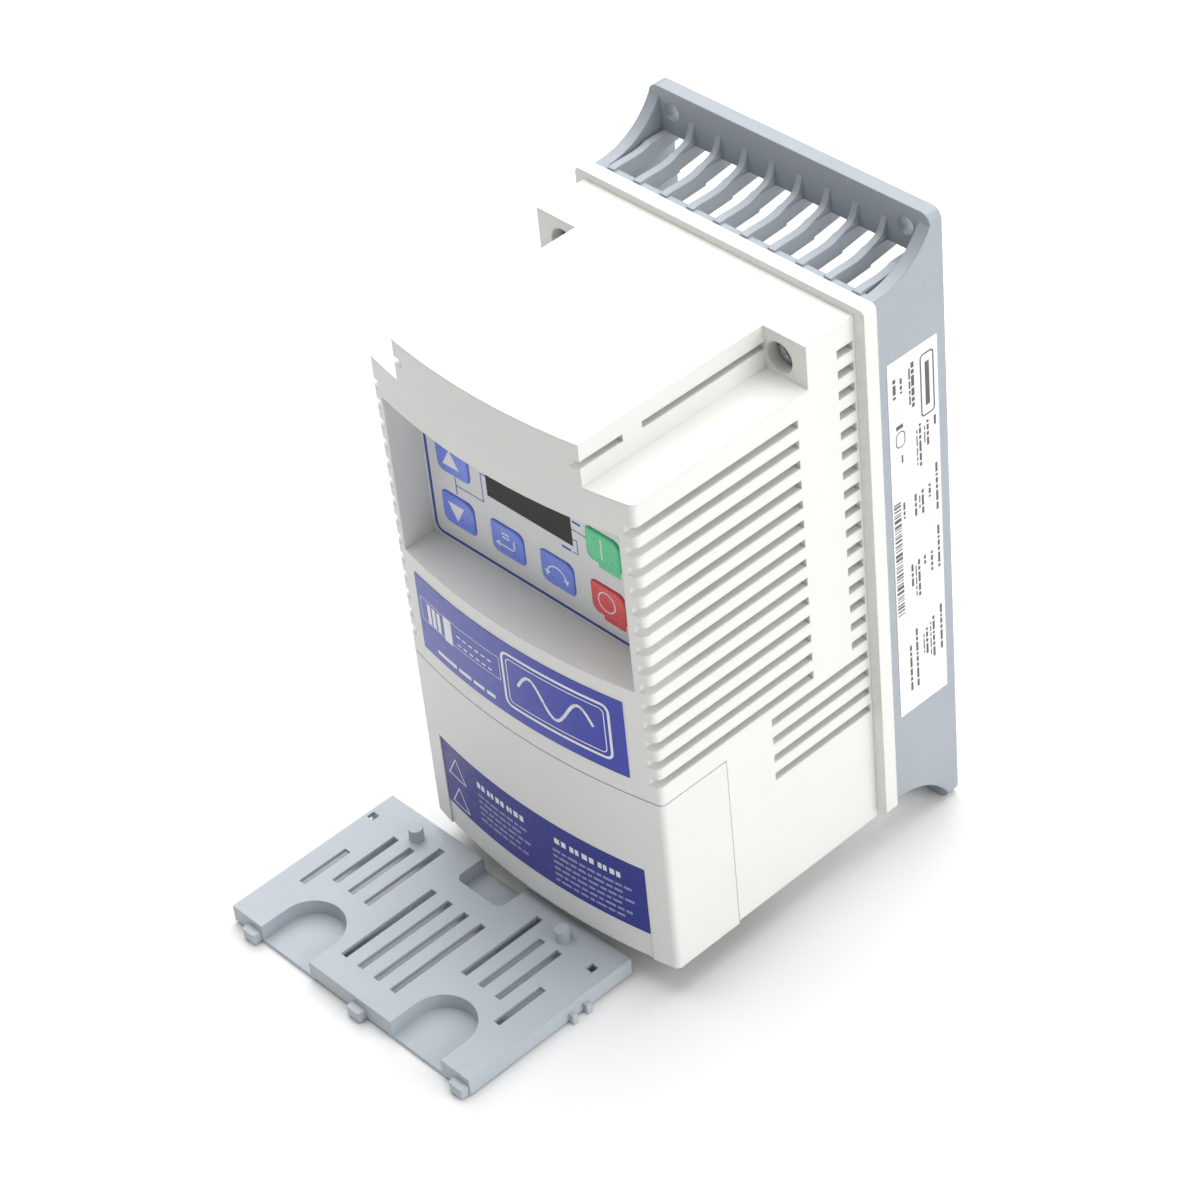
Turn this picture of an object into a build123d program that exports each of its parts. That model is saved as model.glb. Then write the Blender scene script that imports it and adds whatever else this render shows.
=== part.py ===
from build123d import *
import math
import os

# Wall-mounted variable frequency drive. Millimetres. X runs across the drive, -Y is its front,
# +Y its wall side (the wall plane is y = 0) and +Z is up. Heights are drawn from the foot of the
# flange, and save() lowers everything so that the origin is the centre of the four wall bolts.

# ---- driving dimensions ----------------------------------------------------------------------
FLANGE_W = 96.0
FLANGE_H = 190.0
FLANGE_T = 4.2
BOLT_DX = 80.0
BOLT_DZ = 178.0
BOLT_R = 2.6
CENTRE_Z = FLANGE_H / 2

BASE_FRONT = -25.4
BASE_END = 14.0
BASE_WALL = 3.6
FACE_T = 2.5
STRIP_EDGE = 177.2
BAR_COUNT = 10
BAR_PITCH = 9.4
BAR_T = 2.4
GUSSET_T = 2.0
SCOOP_R = 22.6
SCOOP_Y = -23.7
SCOOP_DROP = 8.6

BLOCK_Z = (25.0, 165.0)
BLOCK_PLATE_T = 5.0
FIN_Z = (36.0, 144.0)
FIN_BACK = -1.5
BLOCK_SCREWS = [(-40.6, 28.1), (40.6, 28.1), (-40.6, 161.9), (40.6, 161.9)]

RING_W = 99.6
RING_T = 4.4
RING_PROUD = 0.8
RING_HOLE_W = 88.0
RING_HOLE_H = 156.0

BODY_W = 93.0
BODY_BOTTOM = 11.4
BODY_TOP = 174.5
BODY_BACK = BASE_FRONT - RING_T
WALL = 2.8
ROOF_T = 2.2
FRONT_APEX = -110.0
FRONT_R = 200.0
CORNER_R = 1.8
BLOCK_W = 65.0
LEDGE_Z = 162.1
POCKET_Y = -46.4
POCKET_WALL_T = 7.0
AHEAD = -130.0

VENT_PITCH = 6.1
VENT_H = 2.5
VENT_DEPTH = 3.2
VENT_TOP = 166.4
VENT_GROUPS = [
    (range(2, 16), (-112.0, -50.4)),
    (range(0, 16), (-36.1, BODY_BACK - 0.8)),
    (range(16, 20), (-65.8, BODY_BACK - 0.8)),
]
WALL_SLOT_Z = 168.6
WALL_SLOT_H = 2.0
WALL_SLOT_Y = [(-120.0, -93.5), (-87.1, POCKET_Y)]

RECESS_X = (-42.1, 41.6)
RECESS_Z = (103.3, 151.5)
PANEL_Y = -95.7
FILM_T = 0.5
PANEL_WALL = 2.2
KEY_W = 11.8
KEY_H = 9.8
KEY_R = 2.0
KEY_COLUMNS = (-30.4, -12.2, 5.9, 24.0)
KEY_ROWS = (115.3, 131.9)
KEY_NAMES = ["key_up", "key_down", "key_mode", "key_direction", "key_start", "key_stop"]
KEY_TRAVEL = 0.5
KEY_PROUD = 0.5
KEY_DEPTH = 3.4
GAP = 0.3
WINDOW_X = (-18.2, 12.8)
WINDOW_Z = (127.0, 141.0)

SEAM_Z = 67.6
COVER_BOTTOM = 10.4
COVER_BACK = -82.3
COVER_BACK_GAP = 0.1
COVER_WALL = 2.2
COVER_LABEL_X = (-38.5, 38.7)
COVER_LABEL_Z = (19.1, 42.0)
NAMEPLATE_X = (-38.7, 37.6)
NAMEPLATE_Z = (73.4, 98.2)
LABEL_SINK = 0.5
LABEL_T = 0.25
PARTITION_Y = -64.0
PARTITION_T = 2.0

BOARD_T = 1.6
POWER_BOARD_Y = -31.6
POWER_FRONT = POWER_BOARD_Y - BOARD_T
CONTROL_BOARD_Y = -58.0
CONTROL_FRONT = CONTROL_BOARD_Y - BOARD_T
DISPLAY_BOARD_Y = -86.0
DISPLAY_BACK = DISPLAY_BOARD_Y + BOARD_T
POWER_POSTS = [(-38.0, 33.0), (38.0, 33.0), (-38.0, 157.0), (38.0, 157.0)]
CONTROL_POSTS = [(-38.0, 75.0), (38.0, 75.0), (-38.0, 151.0), (38.0, 151.0)]
DISPLAY_POSTS = [(-38.0, 108.0), (36.9, 108.0), (-38.0, 147.0), (36.9, 147.0)]
POST_SCREW_R = 1.2
MODULE_SCREWS = [(-35.0, 100.0), (31.0, 100.0)]

UPPER_SCREWS = [(-37.5, 167.4), (37.5, 167.4)]
LOWER_SCREWS = [(-38.0, 20.0), (38.0, 20.0)]
UPPER_SEAT = POCKET_Y + 5.0
LOWER_SEAT = -40.0
SCREW_R = 1.45
SCREW_TIP = BASE_FRONT + 4.0

POWER_POLES = 7
POWER_PITCH = 9.2
CONTROL_POLES = 13
CONTROL_PITCH = 5.3

PLATE_X = (-63.0, 31.0)
PLATE_Y = (-164.2, -107.2)
PLATE_TOP = 6.0
DECK_T = 1.2
SKIRT_BOTTOM = 0.8
POCKET_FLOOR = (0.0, 1.2)
KNOCKOUT_X = (-41.3, 10.6)
KNOCKOUT_Y = -155.4
KNOCKOUT_R = 9.7
RIM_T = 1.6
NOTCH_X = (-25.8, -8.3)
NOTCH_FRONT = -117.4
FOOT_INSET = 2.9
PLATE_SLOT_W = 2.2
PLATE_SLOT_PITCH = 6.45


# ---- helpers ---------------------------------------------------------------------------------
def box(x, y, z):
    """A box from three (low, high) spans."""
    size = (x[1] - x[0], y[1] - y[0], z[1] - z[0])
    middle = ((x[0] + x[1]) / 2, (y[0] + y[1]) / 2, (z[0] + z[1]) / 2)
    return Pos(*middle) * Box(*size)


def span(middle, width):
    """The (low, high) pair of a width about its middle."""
    return (middle - width / 2, middle + width / 2)


def mirrored(inner, outer):
    """The same X span on the left and on the right."""
    return [(-outer, -inner), (inner, outer)]


def rod_y(x, z, radius, y):
    """A cylinder along Y between two y values."""
    return Pos(x, (y[0] + y[1]) / 2, z) * Rot(90, 0, 0) * Cylinder(radius, abs(y[1] - y[0]))


def rod_z(x, y, radius, z):
    return Pos(x, y, (z[0] + z[1]) / 2) * Cylinder(radius, z[1] - z[0])


def slab_y(x, z, width, height, radius, y):
    """A rounded rectangle seen from the front, as thick as the two y values."""
    sketch = Plane.XZ * Pos(x, z) * RectangleRounded(width, height, radius)
    return Pos(0, y[1], 0) * extrude(sketch, y[1] - y[0])


def slab_z(x, y, radius, z):
    """A rounded rectangle seen from above."""
    sketch = Pos((x[0] + x[1]) / 2, (y[0] + y[1]) / 2, z[0]) * RectangleRounded(x[1] - x[0], y[1] - y[0], radius)
    return extrude(sketch, z[1] - z[0])


def bow_y(x, inset=0.0):
    """Depth of the bowed front at a distance x from the middle."""
    radius = FRONT_R - inset
    return FRONT_APEX + FRONT_R - math.sqrt(radius * radius - x * x)


def bowed(half_width, y_back, z, inset=0.0, corner=CORNER_R):
    """A block with straight sides and the bowed front."""
    side = bow_y(half_width, inset)
    back = Polyline((-half_width, side), (-half_width, y_back), (half_width, y_back), (half_width, side))
    bow = ThreePointArc((half_width, side), (0, FRONT_APEX + inset), (-half_width, side))
    block = extrude(Pos(0, 0, z[0]) * make_face([*back.edges(), bow]), z[1] - z[0])
    if corner:
        block = fillet(block.edges().filter_by(Axis.Z).sort_by(Axis.Y)[:2], corner)
    return block


def cross_screw(x, z, head_r, head_t, shank_r, seat, tip):
    """A pan-head screw along Y with a cross recess; its head sits in front of the seat."""
    front = seat - head_t
    screw = rod_y(x, z, head_r, (front, seat)) + rod_y(x, z, shank_r, (seat, tip))
    deep = (front - 1, front + head_t * 0.55)
    for width, height in ((head_r * 1.1, head_r * 0.28), (head_r * 0.28, head_r * 1.1)):
        screw -= box(span(x, width), deep, span(z, height))
    return screw


def group(solids):
    return Compound(children=list(solids))


def save(name, shape):
    """Lowers each solid to the row frame and writes the node."""
    solids = [Pos(0, 0, -CENTRE_Z) * solid for solid in shape.solids()]
    node = solids[0] if len(solids) == 1 else group(solids)
    node.label = name
    export_step(node, f"parts/{name}.step")


# ---- mounting base: flange strips, cheeks with scooped ends and the two air grilles -------------
def bar_places():
    return [(i - (BAR_COUNT - 1) / 2) * BAR_PITCH for i in range(BAR_COUNT)]


def both_ends(solid):
    """The same shape at the upper and at the lower end."""
    return [solid, mirror(solid, about=Plane.XY.offset(CENTRE_Z))]


def side_profile(outline, curve, x, width):
    """A shape drawn in Y and Z and given its width across the drive."""
    lines = Polyline(*outline)
    face = make_face([*lines.edges(), Spline(*curve)])
    return extrude(Plane.YZ.offset(x - width / 2) * face, width, dir=(1, 0, 0))


def grille_bar(x):
    """One slat of the upper grille, with its gusset on the flange unless a bolt hole is there."""
    top = STRIP_EDGE + 0.45
    outline = [(-24.4, 176.5), (-24.4, 172.0), (-10.6, 172.6), (-10.6, 173.2), (-1.0, 174.4), (-1.0, top), (-11.0, top)]
    bar = side_profile(outline, [(-11.0, top), (-13.4, 176.9), (-17.0, 176.6), (-24.4, 176.5)], x, BAR_T)
    if abs(x) < BOLT_DX / 2:
        outline = [(-10.8, top), (-10.8, top - 0.4), (-3.0, top - 0.4), (-3.0, 183.8), (-4.2, 183.8)]
        bar += side_profile(outline, [(-4.2, 183.8), (-4.9, 181.5), (-6.3, 179.3), (-8.4, 178.3), (-10.8, top)], x, GUSSET_T)
    return bar


def mounting_base():
    half = FLANGE_W / 2
    inner = half - BASE_WALL
    body = slab_y(0, CENTRE_Z, FLANGE_W, FLANGE_H, 3.0, (-FLANGE_T, 0))
    body -= box((-inner, inner), (-FLANGE_T - 1, 1), (FLANGE_H - STRIP_EDGE, STRIP_EDGE))
    body += box((-half, half), (BASE_FRONT, BASE_FRONT + FACE_T), (BASE_END, FLANGE_H - BASE_END))
    scoops = [end * Rot(0, 90, 0) * Cylinder(SCOOP_R, FLANGE_W + 20)
              for end in (Pos(0, SCOOP_Y, -SCOOP_DROP), Pos(0, SCOOP_Y, FLANGE_H + SCOOP_DROP))]
    for wall in mirrored(inner, half):
        body += box(wall, (BASE_FRONT, -FLANGE_T), (0, FLANGE_H)) - scoops
    for x in bar_places():
        body += both_ends(grille_bar(x))
    for x, z in UPPER_SCREWS + LOWER_SCREWS:
        body += rod_y(x, z, 2.4, (BASE_FRONT + 1, SCREW_TIP + 1.4))
    body -= box((-inner, inner), (BASE_FRONT - 1, BASE_FRONT + BLOCK_PLATE_T), BLOCK_Z)
    lug_y = (BASE_FRONT + BLOCK_PLATE_T, BASE_FRONT + BLOCK_PLATE_T + 4)
    for x in mirrored(37.4, inner + 0.6):
        for z in ((BLOCK_Z[0], 31.4), (158.6, BLOCK_Z[1])):
            body += box(x, lug_y, z)
    for x, z in BLOCK_SCREWS:
        body -= rod_y(x, z, 1.3, (lug_y[0] - 1, lug_y[0] + 3))
    for x in span(0, BOLT_DX):
        for z in span(CENTRE_Z, BOLT_DZ):
            body -= rod_y(x, z, BOLT_R, (-FLANGE_T - 1, 1))
    for x, z in UPPER_SCREWS + LOWER_SCREWS:
        body -= rod_y(x, z, SCREW_R + 0.05, (BASE_FRONT - 1, SCREW_TIP + 0.4))
    return body


# ---- heat-sink block: plate with vertical fins, screwed to four lugs of the base -----------------
def fin_block():
    inner = FLANGE_W / 2 - BASE_WALL - GAP
    plate_y = (BASE_FRONT, BASE_FRONT + BLOCK_PLATE_T)
    body = box((-inner, inner), plate_y, (BLOCK_Z[0] + GAP, BLOCK_Z[1] - GAP))
    for x in bar_places()[1:-1]:
        body += box(span(x, BAR_T), (plate_y[1] - 1, FIN_BACK), FIN_Z)
    for x, z in MODULE_SCREWS:
        body -= rod_y(x, z, SCREW_R + 0.05, (BASE_FRONT - 1, SCREW_TIP + 0.4))
    for x, z in BLOCK_SCREWS:
        body -= rod_y(x, z, 1.4, (BASE_FRONT - 1, plate_y[1] + 1))
    return body


def fin_block_screws():
    return group(cross_screw(x, z, 2.0, 1.6, 1.2, BASE_FRONT, BASE_FRONT + 7.6) for x, z in BLOCK_SCREWS)


def rating_label():
    half = FLANGE_W / 2
    return box((half, half + 0.15), (-21.0, -3.1), (41.2, 155.3))


# ---- collar ring between the base and the housing ----------------------------------------------
def collar_ring():
    height = FLANGE_H - 2 * BASE_END + 2 * RING_PROUD
    outer = slab_y(0, CENTRE_Z, RING_W, height, 1.5, (BODY_BACK, BASE_FRONT))
    return outer - box(span(0, RING_HOLE_W), (BODY_BACK - 1, BASE_FRONT + 1), span(CENTRE_Z, RING_HOLE_H))


# ---- housing shell -----------------------------------------------------------------------------
def vent_cutters():
    half = BODY_W / 2
    cutters = []
    for rows, y in VENT_GROUPS:
        for row in rows:
            z = span(VENT_TOP - row * VENT_PITCH, VENT_H)
            cutters += [box(x, y, z) for x in mirrored(half - VENT_DEPTH, half + 2)]
    return cutters


def housing_shell():
    half = BODY_W / 2
    inner = half - WALL
    outline = bowed(half, BODY_BACK, (BODY_BOTTOM, BODY_TOP))
    hollow = bowed(inner, BODY_BACK + 5, (SEAM_Z + 2.4, BODY_TOP - ROOF_T), WALL, 0)
    ledge_back = POCKET_Y + POCKET_WALL_T
    body = outline
    for side in mirrored(BLOCK_W / 2, half + 5):
        body -= box(side, (AHEAD, POCKET_Y), (LEDGE_Z, BODY_TOP + 5))
    for side in mirrored(BLOCK_W / 2 - ROOF_T, half + 5):
        hollow -= box(side, (AHEAD, ledge_back), (LEDGE_Z - ROOF_T, BODY_TOP + 5))
    body -= hollow

    # lower bay: open behind the terminal cover, with a partition in front of the boards
    body -= box(span(0, 120), (AHEAD, COVER_BACK + COVER_BACK_GAP), (0, SEAM_Z))
    body -= box((-inner, inner), (AHEAD, PARTITION_Y - PARTITION_T), (0, SEAM_Z))
    body -= box((-inner, inner), (PARTITION_Y, BODY_BACK + 5), (BODY_BOTTOM + 2.0, SEAM_Z + 3))

    # keypad recess: four side walls and a back wall, with holes for the keys and the window
    lined_x = (RECESS_X[0] - PANEL_WALL, RECESS_X[1] + PANEL_WALL)
    lined_z = (RECESS_Z[0] - PANEL_WALL, RECESS_Z[1] + PANEL_WALL)
    panel_back = PANEL_Y + FILM_T + 2.0
    body += box(lined_x, (AHEAD, panel_back), lined_z) & outline
    body -= box(RECESS_X, (AHEAD, PANEL_Y + FILM_T), RECESS_Z)
    for x, z in key_places():
        body -= slab_y(x, z, KEY_W + 2 * GAP, KEY_H + 2 * GAP, KEY_R + GAP, (PANEL_Y, panel_back + 1))
    body -= box(WINDOW_X, (PANEL_Y, panel_back + 1), WINDOW_Z)
    for x, z in DISPLAY_POSTS:
        body += rod_y(x, z, 2.6, (panel_back, DISPLAY_BOARD_Y))
        body -= rod_y(x, z, 0.95, (DISPLAY_BOARD_Y - 5, DISPLAY_BOARD_Y + 1))

    body -= vent_cutters()
    for y in WALL_SLOT_Y:
        for side in mirrored(BLOCK_W / 2 - 3, BLOCK_W / 2 + 1):
            body -= box(side, y, span(WALL_SLOT_Z, WALL_SLOT_H))

    # screw wells: two in the pockets beside the top block, two behind the terminal cover
    for x, z in UPPER_SCREWS:
        body -= rod_y(x, z, 4.3, (POCKET_Y - 1, UPPER_SEAT))
    for x, z in LOWER_SCREWS:
        body += rod_y(x, z, 4.6, (PARTITION_Y, BODY_BACK))
        body -= rod_y(x, z, 3.4, (PARTITION_Y - 4, LOWER_SEAT))
    for x, z in UPPER_SCREWS + LOWER_SCREWS:
        body -= rod_y(x, z, 1.8, (POCKET_Y - 1, 0))

    # windows for the two terminal blocks
    for width, z in ((POWER_POLES * POWER_PITCH + 2.4, (17.6, 36.4)),
                     (CONTROL_POLES * CONTROL_PITCH + 2.8, (49.1, 60.9))):
        body -= box(span(0, width), (PARTITION_Y - 4, PARTITION_Y + 1), z)
    return body


def housing_screws():
    upper = [cross_screw(x, z, 3.9, 2.4, SCREW_R, UPPER_SEAT, SCREW_TIP) for x, z in UPPER_SCREWS]
    lower = [cross_screw(x, z, 3.1, 2.2, SCREW_R, LOWER_SEAT, SCREW_TIP) for x, z in LOWER_SCREWS]
    return group(upper + lower)


def bowed_label(x, z, inset):
    """A thin label that follows the bow of the front."""
    strip = bowed(60.0, -80, z, inset - LABEL_T, 0) - bowed(61.0, -70, (0, 200), inset, 0)
    return strip & box(x, (-120, -100), z)


def nameplate_label():
    return bowed_label(NAMEPLATE_X, NAMEPLATE_Z, 0.0)


# ---- keypad ------------------------------------------------------------------------------------
def key_places():
    low, high = KEY_ROWS
    first, second, third, fourth = KEY_COLUMNS
    return [(first, high), (first, low), (second, low), (third, low), (fourth, high), (fourth, low)]


def key(x, z):
    cap = slab_y(x, z, KEY_W, KEY_H, KEY_R, (PANEL_Y - KEY_PROUD, PANEL_Y + KEY_DEPTH))
    return fillet(cap.faces().sort_by(Axis.Y)[0].edges(), 0.4)


def keypad_overlay():
    width = (RECESS_X[0] + 0.1, RECESS_X[1] - 0.1)
    height = (RECESS_Z[0] + 0.1, RECESS_Z[1] - 0.1)
    film = box(width, (PANEL_Y, PANEL_Y + FILM_T), height)
    through = (PANEL_Y - 1, PANEL_Y + 1)
    for x, z in key_places():
        film -= slab_y(x, z, KEY_W + 2 * GAP, KEY_H + 2 * GAP, KEY_R + GAP, through)
    return film - box(WINDOW_X, through, WINDOW_Z)


def display_window():
    return box(WINDOW_X, (PANEL_Y + 0.1, PANEL_Y + 1.6), WINDOW_Z)


def display_module():
    return box((-17.0, 11.6), (-93.0, DISPLAY_BOARD_Y), (127.6, 140.4))


def tact_switches():
    tip = PANEL_Y + KEY_DEPTH + KEY_TRAVEL + 0.15
    switches = []
    for x, z in key_places():
        case = box(span(x, 6.0), (-90.4, DISPLAY_BOARD_Y), span(z, 6.0))
        switches.append(case + rod_y(x, z, 1.7, (tip, -90.4)))
    return group(switches)


def display_board():
    board = box((-41.0, 40.0), (DISPLAY_BOARD_Y, DISPLAY_BACK), (105.0, 150.0))
    for x, z in DISPLAY_POSTS:
        board -= rod_y(x, z, 1.1, (DISPLAY_BOARD_Y - 1, DISPLAY_BACK + 1))
    return board


def display_board_screws():
    screws = []
    for x, z in DISPLAY_POSTS:
        head = rod_y(x, z, 2.2, (DISPLAY_BACK, DISPLAY_BACK + 1.6))
        screws.append(head + rod_y(x, z, 0.9, (DISPLAY_BOARD_Y - 4.0, DISPLAY_BACK)))
    return group(screws)


def display_cable_header():
    return box((-12.0, 12.0), (DISPLAY_BACK, CONTROL_FRONT), (108.0, 113.0))


# ---- power stage -------------------------------------------------------------------------------
def power_board():
    through = (POWER_FRONT - 1, POWER_BOARD_Y + 1)
    board = box(span(0, 84.0), (POWER_FRONT, POWER_BOARD_Y), (15.5, 161.0))
    for corner in mirrored(32.8, 45.0):
        board -= box(corner, through, (0, 25.4))
    for x, z in POWER_POSTS:
        board -= rod_y(x, z, POST_SCREW_R + 0.2, through)
    return board


def power_board_posts():
    return group(rod_y(x, z, 3.0, (POWER_BOARD_Y, BASE_FRONT)) for x, z in POWER_POSTS)


def power_module():
    module = box((-32.0, 28.0), (POWER_BOARD_Y, BASE_FRONT - 0.4), (84.0, 116.0))
    module += box((-38.5, 34.5), (BASE_FRONT - 2.8, BASE_FRONT - 0.4), (92.0, 108.0))
    for x, z in MODULE_SCREWS:
        module -= rod_y(x, z, 1.7, (BASE_FRONT - 4, BASE_FRONT))
    return module


def thermal_pad():
    pad = box((-39.0, 35.0), (BASE_FRONT - 0.4, BASE_FRONT), (83.5, 116.5))
    for x, z in MODULE_SCREWS:
        pad -= rod_y(x, z, 1.7, (BASE_FRONT - 1, BASE_FRONT + 1))
    return pad


def module_screws():
    seat = BASE_FRONT - 2.8
    return group(cross_screw(x, z, 2.8, 2.0, SCREW_R, seat, SCREW_TIP) for x, z in MODULE_SCREWS)


def bus_capacitors():
    cans = []
    for x in (-26.0, 0.0, 26.0):
        can = rod_y(x, 136.0, 11.0, (POWER_FRONT - 22.0, POWER_FRONT))
        rim = can.edges().filter_by(GeomType.CIRCLE).sort_by(Axis.Y)[0]
        cans.append(fillet(rim, 1.2))
    return group(cans)


def filter_choke():
    ring = rod_y(-22.0, 62.0, 13.0, (POWER_FRONT - 14.0, POWER_FRONT - 1.5))
    ring -= rod_y(-22.0, 62.0, 6.0, (POWER_FRONT - 15.0, POWER_FRONT - 1.0))
    return ring + box((-34.0, -10.0), (POWER_FRONT - 1.5, POWER_FRONT), (50.0, 74.0))


def transformer():
    core = box((4.0, 26.0), (POWER_FRONT - 17.0, POWER_FRONT - 3.0), (52.0, 74.0))
    return core + box((6.0, 24.0), (POWER_FRONT - 14.0, POWER_FRONT), (49.0, 77.0))


def fuse():
    tube = Pos(15.0, POWER_FRONT - 4.2, 42.5) * Rot(0, 90, 0) * Cylinder(2.6, 20.0)
    clips = [box(span(x, 4.0), (POWER_FRONT - 4.2, POWER_FRONT), span(42.5, 6.0)) for x in (7.0, 23.0)]
    return tube + clips


def relay():
    return box((-12.0, 7.0), (POWER_FRONT - 15.0, POWER_FRONT), (84.0, 99.0))


# ---- control stage -----------------------------------------------------------------------------
def board_connector():
    return box((30.0, 38.0), (CONTROL_BOARD_Y, POWER_FRONT), (88.0, 112.0))


def control_board():
    board = box(span(0, 82.0), (CONTROL_FRONT, CONTROL_BOARD_Y), (48.5, 156.0))
    for x, z in CONTROL_POSTS:
        board -= rod_y(x, z, POST_SCREW_R + 0.2, (CONTROL_FRONT - 1, CONTROL_BOARD_Y + 1))
    return board


def control_board_posts():
    posts = []
    for x, z in CONTROL_POSTS:
        post = rod_y(x, z, 2.8, (CONTROL_BOARD_Y, POWER_FRONT))
        posts.append(post - rod_y(x, z, POST_SCREW_R + 0.05, (CONTROL_BOARD_Y - 1, CONTROL_BOARD_Y + 7)))
    return group(posts)


def control_board_screws():
    tip = CONTROL_BOARD_Y + 6
    return group(cross_screw(x, z, 2.6, 2.0, POST_SCREW_R, CONTROL_FRONT, tip) for x, z in CONTROL_POSTS)


def processor_chip():
    return box(span(0, 18.0), (CONTROL_FRONT - 1.6, CONTROL_FRONT), (120.0, 138.0))


# ---- terminals and plug-in memory ----------------------------------------------------------------
def terminal_positions(poles, pitch):
    return [(i - (poles - 1) / 2) * pitch for i in range(poles)]


def power_terminal_block():
    block = box(span(0, POWER_POLES * POWER_PITCH + 1.6), (-72.0, POWER_FRONT), (18.0, 36.0))
    for x in terminal_positions(POWER_POLES, POWER_PITCH):
        block -= rod_y(x, 29.0, 3.2, (-73.0, -64.0))
        block -= box(span(x, 6.4), (-70.4, -60.0), (17.0, 23.6))
    return block


def power_terminal_screws():
    places = terminal_positions(POWER_POLES, POWER_PITCH)
    return group(cross_screw(x, 29.0, 2.9, 2.0, 2.0, -68.0, -64.0) for x in places)


def control_terminal_block():
    block = box(span(0, CONTROL_POLES * CONTROL_PITCH + 2.0), (-74.0, CONTROL_FRONT), (49.5, 60.5))
    for x in terminal_positions(CONTROL_POLES, CONTROL_PITCH):
        block -= rod_y(x, 57.3, 1.7, (-75.0, -70.0))
        block -= box(span(x, 3.4), (-72.6, -66.0), (48.5, 53.0))
    return block


def control_terminal_screws():
    screws = []
    for x in terminal_positions(CONTROL_POLES, CONTROL_PITCH):
        pin = rod_y(x, 57.3, 1.5, (-73.0, -70.0))
        screws.append(pin - box(span(x, 3.4), (-74.0, -72.3), span(57.3, 0.5)))
    return group(screws)


def memory_socket():
    return box((-9.5, 9.5), (-70.0, PARTITION_Y - PARTITION_T), (37.6, 47.0))


def memory_module():
    plug = box((-8.0, 8.0), (-79.0, -70.0), (38.6, 46.0))
    return plug + box((-9.0, 9.0), (-80.6, -79.0), (38.0, 46.8))


# ---- terminal cover ------------------------------------------------------------------------------
def terminal_cover():
    half = BODY_W / 2
    body = bowed(half, COVER_BACK, (COVER_BOTTOM, SEAM_Z - GAP))
    body -= bowed(half - COVER_WALL, COVER_BACK + 5, (0, 100), COVER_WALL, 0)
    sunk_z = (0, COVER_LABEL_Z[1] + 0.3)
    sunk = bowed(half, COVER_BACK, sunk_z) - bowed(half, 0, sunk_z, LABEL_SINK, 0)
    body -= sunk & box((COVER_LABEL_X[0] - 0.2, COVER_LABEL_X[1] + 0.2), (-120, -100), sunk_z)
    for rib in mirrored(half - COVER_WALL - 1.6, half - COVER_WALL):
        body += box(rib, (-92.0, COVER_BACK), (12.0, 64.0))
    return body


def caution_label():
    return bowed_label(COVER_LABEL_X, COVER_LABEL_Z, LABEL_SINK)


# ---- loose conduit plate ---------------------------------------------------------------------------
def plate_slots():
    """Slots as (x, front y, back y), in three groups of four at one pitch."""
    short, long, side = (-139.9, -117.8), (-139.9, -112.6), (-146.0, -129.7)
    slots = []
    for first, runs in ((-55.8, [side, short, short, long]), (-26.4, [(-156.4, -124.5)] * 4),
                        (2.3, [long, short, short, side])):
        slots += [(first + i * PLATE_SLOT_PITCH, *run) for i, run in enumerate(runs)]
    return slots


def knockout(x, radius, z):
    """A round-ended pocket that opens at the plate's front edge."""
    pocket = rod_z(x, KNOCKOUT_Y, radius, z) + box(span(x, 2 * radius), (PLATE_Y[0], KNOCKOUT_Y), z)
    return pocket & box(PLATE_X, PLATE_Y, z)


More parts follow.
